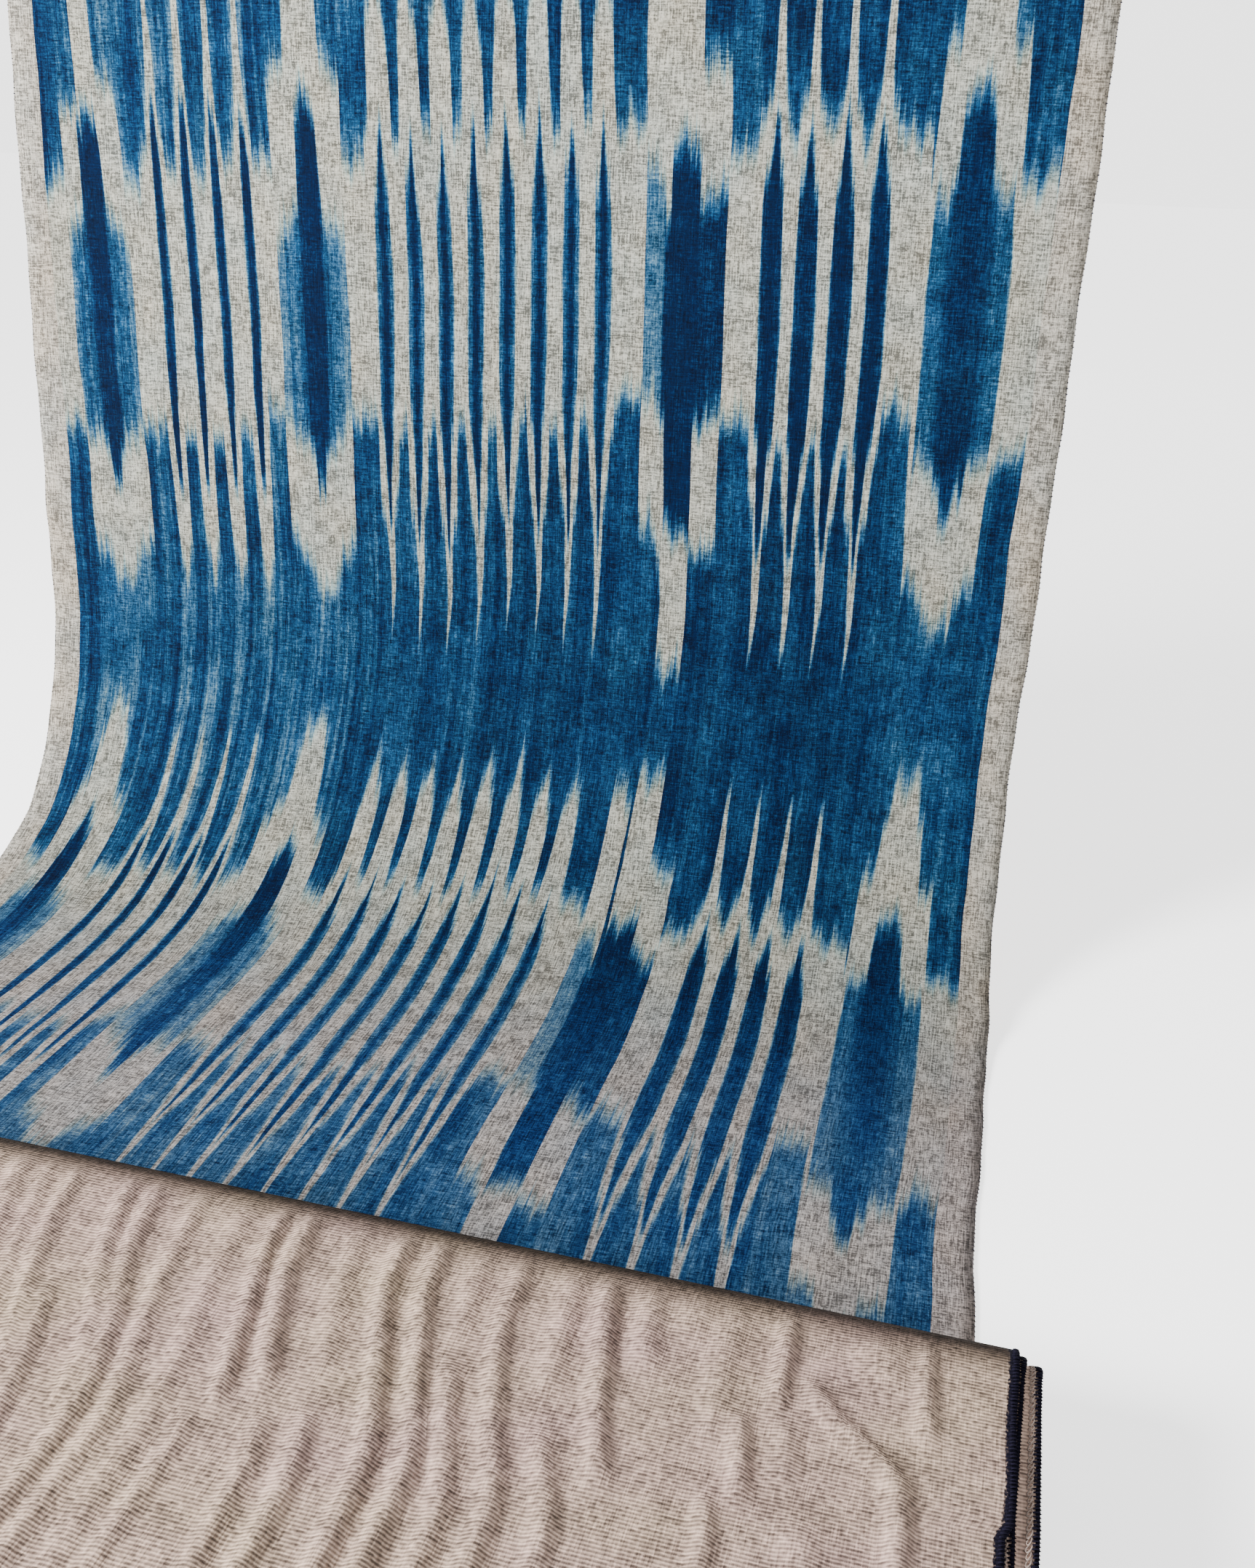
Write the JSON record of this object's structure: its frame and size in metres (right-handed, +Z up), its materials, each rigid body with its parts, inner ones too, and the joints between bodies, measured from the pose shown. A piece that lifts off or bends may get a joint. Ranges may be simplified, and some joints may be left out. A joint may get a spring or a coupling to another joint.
{
  "type": "ikat cloth, hanging loose end with the rest wound into a flat bolt",
  "caption": "One woven cloth: a patterned end hangs and sweeps forward on to a surface, the rest lies wound flat with its plain reverse outside.",
  "frame": {"origin": "middle of the part's box, on the surface that the cloth lies on", "axes": "+Z up, -Y towards the viewer and the bolt, +X along the weft to the viewer's right"},
  "size_m": [0.436, 0.5044, 0.4],
  "materials": {
    "woven_cotton": "matt plain weave, indigo ikat on natural ground, plain taupe reverse"
  },
  "bodies": {
    "root": {"ikat_cloth": "woven_cotton"}
  },
  "joints": []
}
